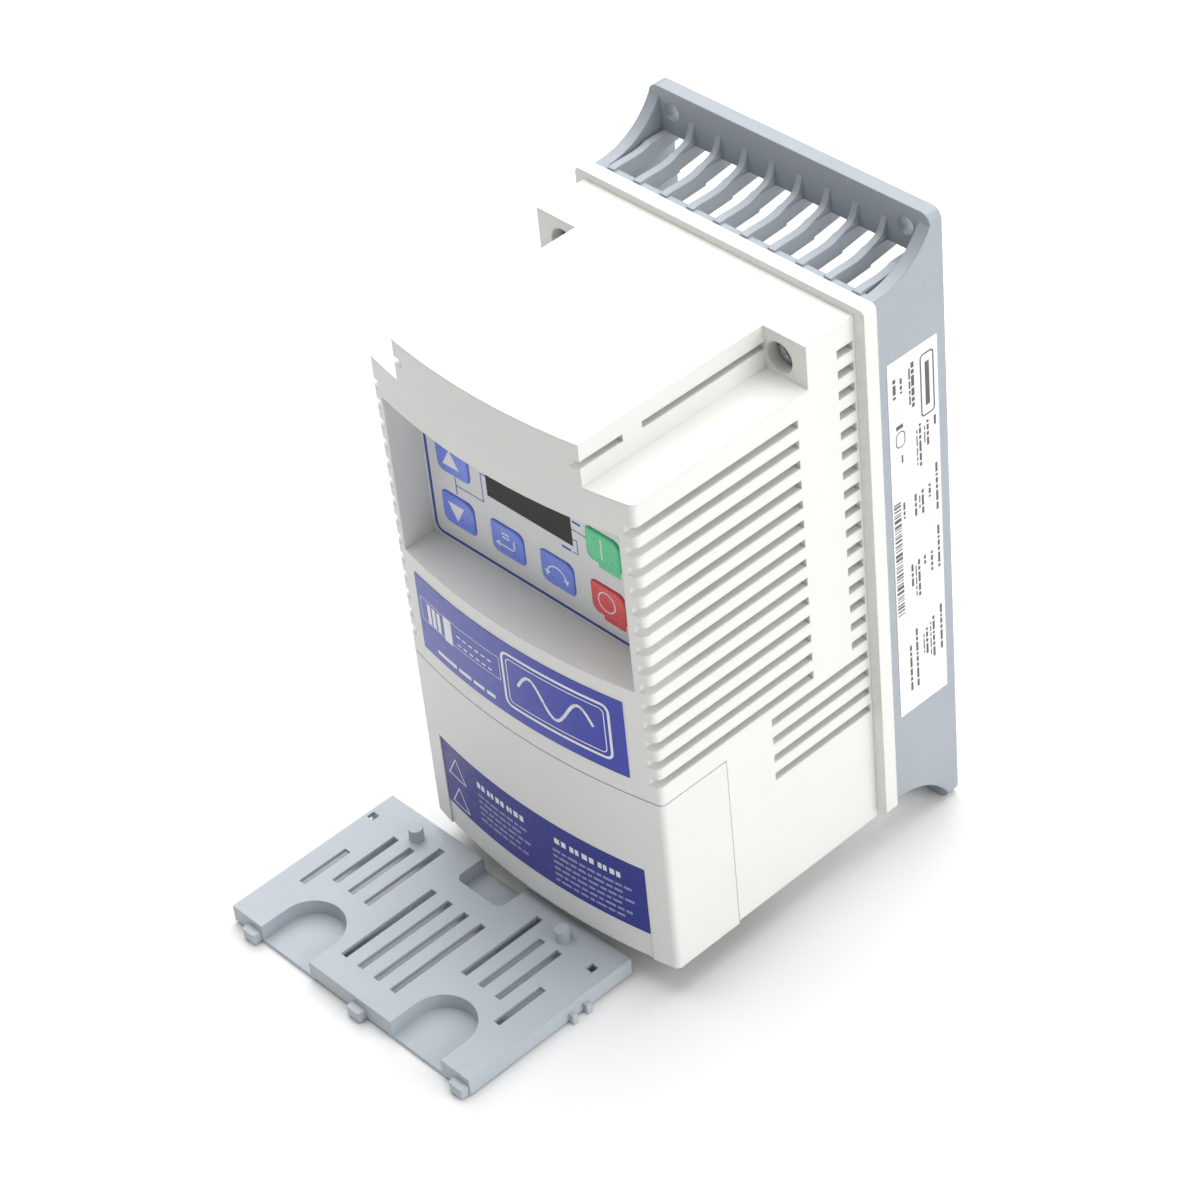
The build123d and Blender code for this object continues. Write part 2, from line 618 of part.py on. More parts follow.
def conduit_plate():
    skirt_z = (SKIRT_BOTTOM, PLATE_TOP)
    deck_z = (PLATE_TOP - DECK_T, PLATE_TOP)
    open_z = (POCKET_FLOOR[1], PLATE_TOP + 20)
    body = box(PLATE_X, PLATE_Y, skirt_z)
    body -= box((PLATE_X[0] + RIM_T, PLATE_X[1] - RIM_T), (PLATE_Y[0] + RIM_T, PLATE_Y[1] - RIM_T), (-1, deck_z[0]))
    body -= box((PLATE_X[0] - 1, PLATE_X[0] + 3), (PLATE_Y[0] + 8, PLATE_Y[1] - 8), (-1, deck_z[0]))
    for x in (PLATE_X[0] + 8, NOTCH_X[0] - 4), (NOTCH_X[1] + 4, PLATE_X[1] - 8):
        body -= box(x, (PLATE_Y[1] - 3, PLATE_Y[1] + 1), (-1, deck_z[0]))
    for x in KNOCKOUT_X:
        body += knockout(x, KNOCKOUT_R + RIM_T, (POCKET_FLOOR[0], PLATE_TOP))
        body -= knockout(x, KNOCKOUT_R, open_z)
    body += box((NOTCH_X[0] - RIM_T, NOTCH_X[1] + RIM_T), (NOTCH_FRONT - RIM_T, PLATE_Y[1]), (POCKET_FLOOR[0], PLATE_TOP))
    body -= slab_z(NOTCH_X, (NOTCH_FRONT, PLATE_Y[1] + 6), 2.4, open_z)
    for x, front, back in plate_slots():
        body -= box(span(x, PLATE_SLOT_W), (front, back), (-2, PLATE_TOP + 5))
    for x in (PLATE_X[0] + 2.2, PLATE_X[1] - 5.2):
        body -= box(span(x, 2.4), span(-116.2, 2.4), (-2, PLATE_TOP + 5))
    for x in (-45.2, 12.5):
        body += rod_z(x, -114.0, 2.1, (deck_z[0], PLATE_TOP + 3.9))
    for x in (-54.2, -11.6, 28.0):
        tab = slab_z(span(x, 5.0), (PLATE_Y[0] - 2.6, PLATE_Y[0] + 1), 0.8, (SKIRT_BOTTOM, 3.8))
        body += tab - box(span(x, 6.0), (PLATE_Y[0], PLATE_Y[0] + 2), (0, 5))
    for x in (PLATE_X[0] + FOOT_INSET, PLATE_X[1] - FOOT_INSET):
        for y in (PLATE_Y[0] + FOOT_INSET, PLATE_Y[1] - FOOT_INSET):
            body += rod_z(x, y, 1.8, (0, deck_z[0] + 0.5))
    for y in (-124.0, -129.0):
        body += box((PLATE_X[1] - 0.5, PLATE_X[1] + 1.6), span(y, 1.6), (0.0, 3.2))
    return body


PARTS = [
    mounting_base, fin_block, fin_block_screws, rating_label, collar_ring, housing_shell, housing_screws, nameplate_label,
    keypad_overlay, display_window, display_module, tact_switches, display_board, display_board_screws,
    display_cable_header, power_board, power_board_posts, power_module, thermal_pad, module_screws,
    bus_capacitors, filter_choke, transformer, fuse, relay, board_connector, control_board,
    control_board_posts, control_board_screws, processor_chip, power_terminal_block,
    power_terminal_screws, control_terminal_block, control_terminal_screws, memory_socket,
    memory_module, terminal_cover, caution_label, conduit_plate,
]

os.makedirs("parts", exist_ok=True)
for make in PARTS:
    save(make.__name__, make())
for name, (x, z) in zip(KEY_NAMES, key_places()):
    save(name, key(x, z))
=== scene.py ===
import math

import bpy
from mathutils import Matrix, Vector


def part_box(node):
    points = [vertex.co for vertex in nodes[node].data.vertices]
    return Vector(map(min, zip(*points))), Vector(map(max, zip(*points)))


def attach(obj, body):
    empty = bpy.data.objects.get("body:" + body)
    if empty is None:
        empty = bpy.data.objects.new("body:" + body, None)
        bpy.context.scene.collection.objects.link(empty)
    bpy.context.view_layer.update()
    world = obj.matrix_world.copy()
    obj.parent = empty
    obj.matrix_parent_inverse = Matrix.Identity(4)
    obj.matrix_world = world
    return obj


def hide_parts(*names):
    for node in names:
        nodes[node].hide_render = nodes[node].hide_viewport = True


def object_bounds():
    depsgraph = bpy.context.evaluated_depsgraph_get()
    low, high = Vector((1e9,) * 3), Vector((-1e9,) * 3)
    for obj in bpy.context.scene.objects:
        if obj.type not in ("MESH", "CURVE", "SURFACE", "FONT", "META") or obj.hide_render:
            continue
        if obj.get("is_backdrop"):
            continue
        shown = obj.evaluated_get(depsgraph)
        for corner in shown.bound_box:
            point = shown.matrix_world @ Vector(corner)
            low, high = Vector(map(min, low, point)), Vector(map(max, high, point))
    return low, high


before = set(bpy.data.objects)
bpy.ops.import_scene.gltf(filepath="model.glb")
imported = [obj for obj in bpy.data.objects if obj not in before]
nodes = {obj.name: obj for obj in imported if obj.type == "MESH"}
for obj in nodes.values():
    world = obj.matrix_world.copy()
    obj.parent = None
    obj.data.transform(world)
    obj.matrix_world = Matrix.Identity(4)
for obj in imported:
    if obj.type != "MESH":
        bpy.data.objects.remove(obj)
cad_low, cad_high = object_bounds()

# ---- wall base --------------------------------------------------------------------------------
# The base is one pressure die casting in aluminium: wall flange, cheeks and two end grilles. It is
# powder-coated blue-grey, which leaves a fine orange-peel grain. The fin block inside is left bare.
MM = 0.001
SHEEN_TO_CLOUD = 9.0


def grain_group():
    """The skin that all finishes share: a fine grain height, a slow mottle and an uneven sheen."""
    group = bpy.data.node_groups.new("surface_grain", "ShaderNodeTree")
    for name, value in (("Grain", 2400.0), ("Cloud", 60.0), ("Fleck", 0.35)):
        socket = group.interface.new_socket(name, in_out="INPUT", socket_type="NodeSocketFloat")
        socket.default_value = value
    for name in ("Height", "Mottle", "Sheen"):
        group.interface.new_socket(name, in_out="OUTPUT", socket_type="NodeSocketFloat")
    add, link = group.nodes.new, group.links.new
    given, given_out = add("NodeGroupInput"), add("NodeGroupOutput")
    place = add("ShaderNodeTexCoord").outputs["Object"]
    fine, slow, mid = (add("ShaderNodeTexNoise") for _ in range(3))
    for noise, detail in ((fine, 3.0), (slow, 4.0), (mid, 2.0)):
        noise.inputs["Detail"].default_value = detail
        link(place, noise.inputs["Vector"])
    link(given.outputs["Grain"], fine.inputs["Scale"])
    link(given.outputs["Cloud"], slow.inputs["Scale"])
    sheen_scale = add("ShaderNodeMath")
    sheen_scale.operation = "MULTIPLY"
    sheen_scale.inputs[1].default_value = SHEEN_TO_CLOUD
    link(given.outputs["Cloud"], sheen_scale.inputs[0])
    link(sheen_scale.outputs[0], mid.inputs["Scale"])
    blend = add("ShaderNodeMix")
    link(given.outputs["Fleck"], blend.inputs["Factor"])
    link(slow.outputs["Fac"], blend.inputs["A"])
    link(fine.outputs["Fac"], blend.inputs["B"])
    spread = add("ShaderNodeMapRange")
    spread.inputs["From Min"].default_value = 0.3
    spread.inputs["From Max"].default_value = 0.7
    link(blend.outputs["Result"], spread.inputs["Value"])
    link(fine.outputs["Fac"], given_out.inputs["Height"])
    link(spread.outputs["Result"], given_out.inputs["Mottle"])
    link(mid.outputs["Fac"], given_out.inputs["Sheen"])
    return group


GRAIN = grain_group()


def finish(name, light, dark, rough=(0.4, 0.55), grain=2400.0, depth=0.02, cloud=60.0, fleck=0.35,
           metal=0.0, coat=0.0, soft_edge=0.0, specular=0.5):
    """A finish that drifts between two close colours, with its own grain, sheen and edge softness."""
    material = bpy.data.materials.new(name)
    material.use_nodes = True
    tree = material.node_tree
    add, link = tree.nodes.new, tree.links.new
    shader = tree.nodes["Principled BSDF"]
    skin = add("ShaderNodeGroup")
    skin.node_tree = GRAIN
    for key, value in (("Grain", grain), ("Cloud", cloud), ("Fleck", fleck)):
        skin.inputs[key].default_value = value
    tint = add("ShaderNodeMix")
    tint.data_type = "RGBA"
    tint.inputs["A"].default_value = (*dark, 1.0)
    tint.inputs["B"].default_value = (*light, 1.0)
    link(skin.outputs["Mottle"], tint.inputs["Factor"])
    link(tint.outputs["Result"], shader.inputs["Base Color"])
    sheen = add("ShaderNodeMapRange")
    sheen.inputs["From Min"].default_value = 0.35
    sheen.inputs["From Max"].default_value = 0.65
    sheen.inputs["To Min"].default_value = rough[0]
    sheen.inputs["To Max"].default_value = rough[1]
    link(skin.outputs["Sheen"], sheen.inputs["Value"])
    link(sheen.outputs["Result"], shader.inputs["Roughness"])
    bump = add("ShaderNodeBump")
    bump.inputs["Strength"].default_value = 0.5
    bump.inputs["Distance"].default_value = depth * MM
    link(skin.outputs["Height"], bump.inputs["Height"])
    if soft_edge:
        round_off = add("ShaderNodeBevel")
        round_off.samples = 6
        round_off.inputs["Radius"].default_value = soft_edge * MM
        link(round_off.outputs["Normal"], bump.inputs["Normal"])
    link(bump.outputs["Normal"], shader.inputs["Normal"])
    shader.inputs["Metallic"].default_value = metal
    shader.inputs["Coat Weight"].default_value = coat
    shader.inputs["Specular IOR Level"].default_value = specular
    return material


def dress(material, *names):
    """Gives CAD nodes their finish."""
    for name in names:
        slots = nodes[name].data.materials
        slots.clear()
        slots.append(material)


dress(finish("powder_coat_grey", (0.375, 0.41, 0.452), (0.34, 0.374, 0.416), rough=(0.34, 0.5),
             grain=1500.0, depth=0.05, cloud=45.0, fleck=0.45, soft_edge=0.5), "mounting_base")
dress(finish("cast_aluminium", (0.60, 0.61, 0.63), (0.47, 0.48, 0.50), rough=(0.38, 0.55),
             grain=1300.0, depth=0.05, cloud=38.0, fleck=0.5, metal=0.9), "fin_block")

# ---- rating label -----------------------------------------------------------------------------
# A white self-adhesive polyester label on the right cheek, printed in dark grey. Its print is only
# a plain frame, rows of bars where small type would be, and a column of strokes.
PRINT_T = 0.03 * MM
TO_FRONT = (math.pi / 2, 0.0, 0.0)
TO_RIGHT = (math.pi / 2, 0.0, math.pi / 2)


def alone():
    """Back to object mode with nothing selected."""
    if bpy.context.mode != "OBJECT":
        bpy.ops.object.mode_set(mode="OBJECT")
    bpy.ops.object.select_all(action="DESELECT")


def settle(name):
    """Puts the active object's place into its mesh and names it."""
    bpy.ops.object.mode_set(mode="OBJECT")
    bpy.ops.object.transform_apply(location=True, rotation=True, scale=True)
    piece = bpy.context.active_object
    piece.name = piece.data.name = name
    return piece


def patch(across, up, depth, turn=0.0):
    """One flat printed rectangle that faces the front, from its two spans in metres."""
    alone()
    middle = (sum(across) / 2, depth, sum(up) / 2)
    bpy.ops.mesh.primitive_plane_add(size=1, location=middle, rotation=TO_FRONT)
    piece = bpy.context.active_object
    piece.scale = (across[1] - across[0], up[1] - up[0], 1.0)
    piece.rotation_euler.rotate_axis("Z", turn)
    return settle("patch")


def rounded(piece, corner, segments=5):
    """Rounds the corners of the active flat shape by so many mm."""
    bpy.ops.object.mode_set(mode="EDIT")
    bpy.ops.mesh.select_all(action="SELECT")
    bpy.ops.mesh.bevel(offset=corner * MM, segments=segments, affect="VERTICES")
    bpy.ops.object.mode_set(mode="OBJECT")
    return piece


def outlined(piece, line):
    """Leaves only a line of so many mm along the edge of the active flat shape."""
    bpy.ops.object.mode_set(mode="EDIT")
    bpy.ops.mesh.select_all(action="SELECT")
    bpy.ops.mesh.inset(thickness=line * MM, depth=0.0)
    bpy.ops.mesh.delete(type="FACE")
    bpy.ops.object.mode_set(mode="OBJECT")
    return piece


def joined(pieces, name):
    """Several pieces made one, as print is on one film."""
    alone()
    for piece in pieces:
        piece.select_set(True)
    bpy.context.view_layer.objects.active = pieces[0]
    if len(pieces) > 1:
        bpy.ops.object.join()
    return settle(name)


def applied(piece, kind, **settings):
    """Adds one modifier to a piece and applies it."""
    alone()
    piece.select_set(True)
    bpy.context.view_layer.objects.active = piece
    modifier = piece.modifiers.new(kind.lower(), kind)
    for key, value in settings.items():
        setattr(modifier, key, value)
    bpy.ops.object.modifier_apply(modifier=modifier.name)
    return piece


def own(piece, material, body):
    """A finished new piece gets its finish and the body that carries it."""
    piece.data.materials.clear()
    piece.data.materials.append(material)
    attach(piece, body)
    return piece


def inked(pieces, name, material, body):
    """Printed shapes made one thin closed layer of ink."""
    layer = joined(pieces, name)
    applied(layer, "SOLIDIFY", thickness=2 * PRINT_T, offset=-1.0)
    return own(layer, material, body)


dress(finish("label_film_white", (0.86, 0.86, 0.87), (0.83, 0.83, 0.84), rough=(0.3, 0.4), grain=3000.0,
             depth=0.004, cloud=90.0), "rating_label")
ink_dark = finish("ink_dark_grey", (0.10, 0.10, 0.11), (0.07, 0.07, 0.08), rough=(0.4, 0.5), grain=4000.0,
                  depth=0.003, cloud=300.0, fleck=0.6)
label_low, label_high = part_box("rating_label")


def side_bar(down, back, length, width):
    """A printed bar on the right cheek: mm down from the label's top and back from its front edge."""
    alone()
    middle = (label_high.x + PRINT_T, label_low.y + back * MM, label_high.z - down * MM - length * MM / 2)
    bpy.ops.mesh.primitive_plane_add(size=1, location=middle, rotation=TO_RIGHT)
    bpy.context.active_object.scale = (width * MM, length * MM, 1.0)
    return settle("bar")


# Lengths in mm of the bars that stand for words, the space between them and the shortest rest.
WORDS = (2.3, 1.2, 2.9, 0.8, 1.7, 1.2, 3.3)
WORD_SPACE = 0.55
SHORTEST_WORD = 0.6


def side_line(down, back, length, width):
    """A line of small type, as a run of word-long bars."""
    end, bars = down + length, []
    while end - down > SHORTEST_WORD:
        word = min(WORDS[(len(bars) + round(10 * back)) % len(WORDS)], end - down)
        bars.append(side_bar(down, back, word, width))
        down += word + WORD_SPACE
    return bars


# Each line of type: mm down from the top, mm back from the front edge, length, height of its type.
TYPE_LINES = (
    (3.6, 8.8, 13.6, 1.1), (6.2, 4.6, 4.6, 0.8), (5.4, 2.2, 6.4, 1.1), (20.0, 3.6, 1.6, 2.6),
    (24.0, 16.3, 3.4, 0.8), (24.0, 13.6, 7.8, 0.8), (23.6, 10.8, 13.6, 0.8), (29.6, 4.2, 3.2, 0.6),
    (39.0, 16.3, 16.0, 0.8), (44.2, 13.6, 4.2, 0.8), (44.4, 11.0, 7.6, 0.8), (44.4, 8.4, 7.0, 0.8),
    (59.2, 16.3, 13.6, 0.8), (66.0, 13.6, 6.4, 0.8), (65.8, 11.0, 2.8, 0.8), (65.8, 8.8, 12.6, 0.8),
    (66.0, 6.3, 7.2, 0.8), (85.4, 16.3, 15.4, 0.8), (87.6, 13.4, 13.6, 0.8), (90.0, 10.8, 9.0, 0.8),
    (87.8, 7.0, 19.6, 0.8), (92.2, 4.6, 15.2, 0.8), (44.6, 4.2, 5.2, 0.7),
)
rating = [outlined(rounded(side_bar(3.4, 14.0, 19.0, 5.0), 1.2), 0.45),
          outlined(rounded(side_bar(22.0, 3.8, 5.0, 3.4), 1.6), 0.3), side_bar(6.2, 14.0, 13.2, 1.5)]
for down, back, length, width in TYPE_LINES:
    rating += side_line(down, back, length, 0.95 * width)
    if length > 7.0 and 8.0 < back < 14.0:
        rating += side_line(down + 1.4, back - 1.15, length - 2.6, 0.5 * width)

# The column of strokes down the label: their lengths in turn, and where the column starts.
STROKES = (0.5, 0.3, 0.9, 0.3, 0.5, 1.1, 0.3, 0.7, 0.4, 0.3)
STROKE_COUNT = 34
stroke_top = 43.6
for count in range(STROKE_COUNT):
    stroke = STROKES[(count * 7) % len(STROKES)]
    rating.append(side_bar(stroke_top, 1.75, stroke, 2.5))
    stroke_top += stroke + 0.36 + 0.2 * (count % 3)
inked(rating, "rating_print", ink_dark, "drive")

# ---- collar ring and housing ------------------------------------------------------------------
# The ring is a separate moulded frame that clamps the housing to the base. Ring and housing are
# injection-moulded in warm white ABS with a fine spark-eroded texture and slightly rounded edges.
dress(finish("moulded_white_ring", (0.80, 0.80, 0.765), (0.775, 0.775, 0.74), rough=(0.42, 0.55),
             grain=2600.0, depth=0.02, soft_edge=0.5), "collar_ring")
dress(finish("moulded_white_shell", (0.80, 0.80, 0.772), (0.778, 0.778, 0.748), rough=(0.4, 0.54),
             grain=2600.0, depth=0.02, cloud=40.0, soft_edge=0.6), "housing_shell")

# ---- housing screws ---------------------------------------------------------------------------
# Four zinc-plated pan-head screws with cross recesses hold the housing to the base: two in the
# pockets beside the top block, two behind the terminal cover. Their shanks have a coarse thread.
zinc = finish("zinc_plate", (0.50, 0.51, 0.53), (0.34, 0.35, 0.37), rough=(0.2, 0.36), grain=1800.0,
              depth=0.01, cloud=500.0, metal=1.0)
SHARP = math.radians(40)
BLADE_SPAN, BLADE_WIDTH = 1.16, 0.24  # of the head's radius
BLADE_LENGTH = 3.2 * MM
SHANK_R = 1.45 * MM
NECK = 2.0 * MM
THREAD_PITCH = 1.0 * MM
THREAD_ROOT = 0.78  # of the shank's radius
POINT = 0.35  # of the shank's radius


def cross_cutter(head_r, front):
    """The two crossed blades of a driver tip, narrower towards their point."""
    blades = []
    for turn in (0.0, math.pi / 2):
        alone()
        bpy.ops.mesh.primitive_cube_add(size=1, location=(0.0, front, 0.0),
                                        rotation=(0.0, turn + math.pi / 4, 0.0))
        blade = bpy.context.active_object
        blade.scale = (head_r * BLADE_SPAN, BLADE_LENGTH, head_r * BLADE_WIDTH)
        settle("blade")
        bpy.ops.object.mode_set(mode="EDIT")
        bpy.ops.mesh.select_mode(type="FACE")
        bpy.ops.mesh.select_all(action="DESELECT")
        bpy.ops.object.mode_set(mode="OBJECT")
        for face in blade.data.polygons:
            face.select = face.normal.y > 0.9
        bpy.ops.object.mode_set(mode="EDIT")
        bpy.ops.transform.resize(value=(0.5, 1.0, 0.5))
        blades.append(settle("blade"))
    return blades


def drawn_out(length, factor=None):
    """Extrudes the selected face along Y and scales it about its middle."""
    bpy.ops.mesh.extrude_region_move(TRANSFORM_OT_translate={"value": (0.0, length, 0.0)})
    if factor:
        bpy.ops.transform.resize(value=(factor, 1.0, factor))


def pan_head_screw(head_r, head_t, seat, tip):
    """A screw along Y at x = z = 0: domed head, cross recess and threaded shank."""
    alone()
    bpy.ops.mesh.primitive_cylinder_add(vertices=40, radius=head_r, depth=head_t,
                                        location=(0.0, seat - head_t / 2, 0.0), rotation=TO_FRONT)
    screw = settle("screw")
    for edge in screw.data.edges:
        ends = [screw.data.vertices[i].co for i in edge.vertices]
        edge.select = all(abs(end.y - (seat - head_t)) < 1e-6 for end in ends)
    for face in screw.data.polygons:
        face.select = False
    bpy.ops.object.mode_set(mode="EDIT")
    bpy.ops.mesh.select_mode(type="EDGE")
    bpy.ops.mesh.bevel(offset=head_t * 0.62, segments=5, affect="EDGES")
    bpy.ops.mesh.select_mode(type="FACE")
    bpy.ops.mesh.select_all(action="DESELECT")
    bpy.ops.object.mode_set(mode="OBJECT")
    for face in screw.data.polygons:
        face.select = face.normal.y > 0.99
    bpy.ops.object.mode_set(mode="EDIT")
    bpy.ops.mesh.inset(thickness=head_r - SHANK_R)
    drawn_out(NECK)
    turns = int((tip - seat - 2 * NECK) / THREAD_PITCH)
    for _ in range(turns):
        drawn_out(THREAD_PITCH / 2, THREAD_ROOT)
        drawn_out(THREAD_PITCH / 2, 1 / THREAD_ROOT)
    drawn_out(tip - seat - NECK - turns * THREAD_PITCH, POINT)
    screw = settle("screw")
    blades = cross_cutter(head_r, seat - head_t)
    for blade in blades:
        applied(screw, "BOOLEAN", object=blade, operation="DIFFERENCE", solver="EXACT")
        bpy.data.objects.remove(blade)
    applied(screw, "BEVEL", width=0.06 * MM, segments=2, limit_method="ANGLE", angle_limit=SHARP)
    alone()
    screw.select_set(True)
    bpy.context.view_layer.objects.active = screw
    bpy.ops.object.shade_smooth_by_angle(angle=math.radians(35))
    return screw


def copied(piece, offset, name):
    """A copy with its own mesh, moved by an offset."""
    alone()
    copy = piece.copy()
    copy.data = piece.data.copy()
    bpy.context.scene.collection.objects.link(copy)
    copy.location = offset
    copy.select_set(True)
    bpy.context.view_layer.objects.active = copy
    return settle(name)


SCREW_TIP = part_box("housing_screws")[1].y
upper = pan_head_screw(3.9 * MM, 2.4 * MM, -41.4 * MM, SCREW_TIP)
lower = pan_head_screw(3.1 * MM, 2.2 * MM, -40.0 * MM, SCREW_TIP)
screws = []
for kind, x, z in ((upper, 37.5, 72.4), (lower, 38.0, -75.0)):
    screws += [copied(kind, (side * x * MM, 0.0, z * MM), "screw") for side in (-1, 1)]
    bpy.data.objects.remove(kind)
housing_screws = own(joined(screws, "cross_head_screws"), zinc, "drive")
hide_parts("housing_screws")

# ---- nameplate label --------------------------------------------------------------------------
# A blue polyester label on the bowed front, printed with a slow fade from lavender to full blue.
# Its print is generic: a framed plaque with a plain sine wave, thin rules and bars.
def faded_film(name, left, right, low, high):
    """A printed film whose ground colour fades across X."""
    material = finish(name, left, right, rough=(0.34, 0.46), grain=3200.0, depth=0.004, specular=0.28)
    tree = material.node_tree
    add, link = tree.nodes.new, tree.links.new
    shader = tree.nodes["Principled BSDF"]
    place, split, fade = add("ShaderNodeTexCoord"), add("ShaderNodeSeparateXYZ"), add("ShaderNodeMapRange")
    link(place.outputs["Object"], split.inputs["Vector"])
    link(split.outputs["X"], fade.inputs["Value"])
    fade.inputs["From Min"].default_value = low
    fade.inputs["From Max"].default_value = high
    fade.interpolation_type = "SMOOTHSTEP"
    tint = add("ShaderNodeMix")
    tint.data_type = "RGBA"
    tint.inputs["A"].default_value = (*left, 1.0)
    tint.inputs["B"].default_value = (*right, 1.0)
    link(fade.outputs["Result"], tint.inputs["Factor"])
    cloudy = add("ShaderNodeMix")
    cloudy.data_type = "RGBA"
    cloudy.inputs["Factor"].default_value = 0.12
    mottled = shader.inputs["Base Color"].links[0].from_socket
    link(tint.outputs["Result"], cloudy.inputs["A"])
    link(mottled, cloudy.inputs["B"])
    link(cloudy.outputs["Result"], shader.inputs["Base Color"])
    return material


name_low, name_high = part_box("nameplate_label")
dress(faded_film("label_film_blue", (0.17, 0.19, 0.50), (0.045, 0.06, 0.42), name_low.x, name_high.x),
      "nameplate_label")
ink_white = finish("ink_white", (0.86, 0.86, 0.88), (0.80, 0.80, 0.83), rough=(0.4, 0.5), grain=4000.0,
                   depth=0.003, cloud=300.0, fleck=0.6)
FRONT = cad_low.y


def label_bar(x, z, width, height, origin):
    """A printed rectangle from its lower left corner, in mm from a label's own corner."""
    return patch((origin.x + x * MM, origin.x + (x + width) * MM),
                 (origin.z + z * MM, origin.z + (z + height) * MM), FRONT)


BEND_STEP = 4.0 * MM
BEND_CUTS = range(-9, 10)


def bent_print(pieces, name, target, material, body):
    """Flat print cut into short steps across X, laid on a bowed label and given its thickness."""
    layer = joined(pieces, name)
    bpy.ops.object.mode_set(mode="EDIT")
    for cut in BEND_CUTS:
        bpy.ops.mesh.select_all(action="SELECT")
        bpy.ops.mesh.bisect(plane_co=(cut * BEND_STEP, 0.0, 0.0), plane_no=(1.0, 0.0, 0.0))
    bpy.ops.object.mode_set(mode="OBJECT")
    applied(layer, "SHRINKWRAP", target=nodes[target], wrap_method="PROJECT", use_project_y=True,
            use_negative_direction=True, use_positive_direction=True, offset=0.0)
    alone()
    layer.location.y = -1.4 * PRINT_T
    layer.select_set(True)
    bpy.context.view_layer.objects.active = layer
    settle(name)
    applied(layer, "SOLIDIFY", thickness=2 * PRINT_T, offset=-1.0)
    return own(layer, material, body)


# The frames, each with its line and corner: round the strip of bars and twice round the plaque.
marks = [outlined(rounded(label_bar(1.6, 10.6, 33.4, 7.6, name_low), 0.2), 0.18),
         outlined(rounded(label_bar(35.8, 3.4, 36.4, 18.4, name_low), 2.6), 0.8),
         outlined(rounded(label_bar(37.6, 5.2, 32.8, 14.8, name_low), 1.6), 0.3)]

# In the strip: three thin blocks and a tall wide one, then two rows of short dashes. Bars below it.
BLOCK_LEVEL, TALLEST_BLOCK = 10.0, 8.2
for x, width, height in ((4.6, 1.5, 6.4), (6.8, 1.5, 6.4), (9.0, 1.5, 6.4), (12.0, 3.4, TALLEST_BLOCK)):
    marks.append(label_bar(x, BLOCK_LEVEL + (TALLEST_BLOCK - height) / 2, width, height, name_low))
DASHES, DASH_START, DASH_PITCH = 6, 17.6, 2.5
for dash in range(DASHES):
    for z in (11.8, 14.6):
        marks.append(label_bar(DASH_START + dash * DASH_PITCH, z, 1.5, 0.5, name_low))
for x, width in ((7.2, 8.4), (16.6, 5.2), (22.8, 4.4), (28.2, 3.4)):
    marks.append(label_bar(x, 2.4, width, 1.2, name_low))

# The wave in the plaque is a chain of short bars that overlap a little, in mm from the corner.
WAVE_STEPS = 28
WAVE_LEFT, WAVE_LENGTH = 41.5, 25.0
WAVE_LEVEL, WAVE_SWING = 12.6, 4.4
WAVE_HALF_LINE = 0.45
WAVE_OVERLAP = 0.5
WAVE_ANGLE = 2 * math.pi * 1.5
for step in range(WAVE_STEPS):
    share = (step + 0.5) / WAVE_STEPS
    slope = math.atan2(WAVE_SWING * WAVE_ANGLE * math.cos(WAVE_ANGLE * share), WAVE_LENGTH)
    half = (WAVE_LENGTH / WAVE_STEPS / math.cos(slope) + WAVE_OVERLAP) * MM / 2
    x = name_low.x + (WAVE_LEFT + WAVE_LENGTH * share) * MM
    z = name_low.z + (WAVE_LEVEL + WAVE_SWING * math.sin(WAVE_ANGLE * share)) * MM
    marks.append(patch((x - half, x + half), (z - WAVE_HALF_LINE * MM, z + WAVE_HALF_LINE * MM), FRONT,
                       turn=slope))
bent_print(marks, "nameplate_print", "nameplate_label", ink_white, "drive")

# ---- keypad film ------------------------------------------------------------------------------
# A light grey printed polycarbonate film on the recess floor, with a thin blue border and thin
# blue rules that tie the arrow keys and the start key to the display window.
dress(finish("membrane_film_grey", (0.74, 0.745, 0.75), (0.71, 0.715, 0.725), rough=(0.35, 0.45),
             grain=2800.0, depth=0.006, cloud=70.0), "keypad_overlay")
ink_blue = finish("ink_blue", (0.045, 0.075, 0.42), (0.03, 0.055, 0.36), rough=(0.35, 0.45), grain=3600.0,
                  depth=0.003, cloud=200.0)
film_low, film_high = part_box("keypad_overlay")
window_low, window_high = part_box("display_window")
FILM_FACE = film_low.y - PRINT_T


def film_rule(start, end, width=0.28):
    """A printed line, level or upright, between two points in mm from the window's centre."""
    middle = (window_low + window_high) / 2
    left, right = sorted((start[0], end[0]))
    foot, top = sorted((start[1], end[1]))
    half = width / 2
    return patch((middle.x + (left - half) * MM, middle.x + (right + half) * MM),
                 (middle.z + (foot - half) * MM, middle.z + (top + half) * MM), FILM_FACE)


# The border keeps clear of the film's edge, a little more at its foot and top.
BORDER_X, BORDER_Z = 1.1 * MM, 1.2 * MM
border = patch((film_low.x + BORDER_X, film_high.x - BORDER_X),
               (film_low.z + BORDER_Z, film_high.z - BORDER_Z), FILM_FACE)
rules = [outlined(rounded(border, 3.0, segments=6), 0.95)]
for start, end in (
    ((-27.6, -7.0), (-27.6, -12.9)), ((-27.6, -10.0), (-17.3, -10.0)), ((-17.3, -10.0), (-17.3, -1.0)),
    ((-17.3, -1.0), (-15.6, -1.0)), ((15.6, -1.5), (20.5, -1.5)), ((15.6, -4.6), (17.0, -4.6)),
    ((17.0, -4.6), (17.0, -8.8)), ((15.2, -8.8), (17.0, -8.8)),
):
    rules.append(film_rule(start, end))
for x, z, length in ((16.4, 1.2, 2.2), (11.6, -8.8, 2.6)):
    rules.append(film_rule((x, z), (x + length, z), width=0.7))
inked(rules, "keypad_rules", ink_blue, "drive")

